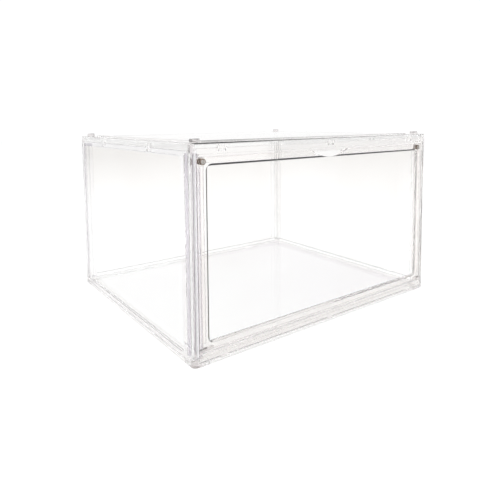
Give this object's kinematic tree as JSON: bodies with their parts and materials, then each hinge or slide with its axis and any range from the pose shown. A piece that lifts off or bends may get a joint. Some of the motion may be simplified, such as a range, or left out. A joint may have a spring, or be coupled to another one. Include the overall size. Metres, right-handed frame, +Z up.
{
  "type": "shoe box",
  "caption": "Clear stackable shoe box with a drop-down front door held shut by magnets; studs on top locate the next box.",
  "frame": {"origin": "centre of the box's underside, on the surface it stands on", "axes": "+Z up, -Y out through the door, +X to the right of someone facing the door"},
  "size_m": [0.36, 0.306, 0.2126],
  "materials": {
    "clear_plastic": "polished clear polystyrene",
    "magnet_metal": "nickel-plated",
    "pin_steel": "drawn wire"
  },
  "bodies": {
    "box": {"base_panel": "clear_plastic", "top_panel": "clear_plastic", "left_side_panel": "clear_plastic", "right_side_panel": "clear_plastic", "back_panel": "clear_plastic", "front_frame": "clear_plastic", "frame_magnet_left": "magnet_metal", "frame_magnet_right": "magnet_metal"},
    "door": {"door": "clear_plastic", "door_magnet_left": "magnet_metal", "door_magnet_right": "magnet_metal", "hinge_pin_left": "pin_steel", "hinge_pin_right": "pin_steel"}
  },
  "joints": [
    {"name": "door_hinge", "type": "hinge", "parent": "box", "child": "door", "pos_m": [0, -0.1508, 0.016], "axis": [1, 0, 0], "range_deg": [0, 94]}
  ]
}
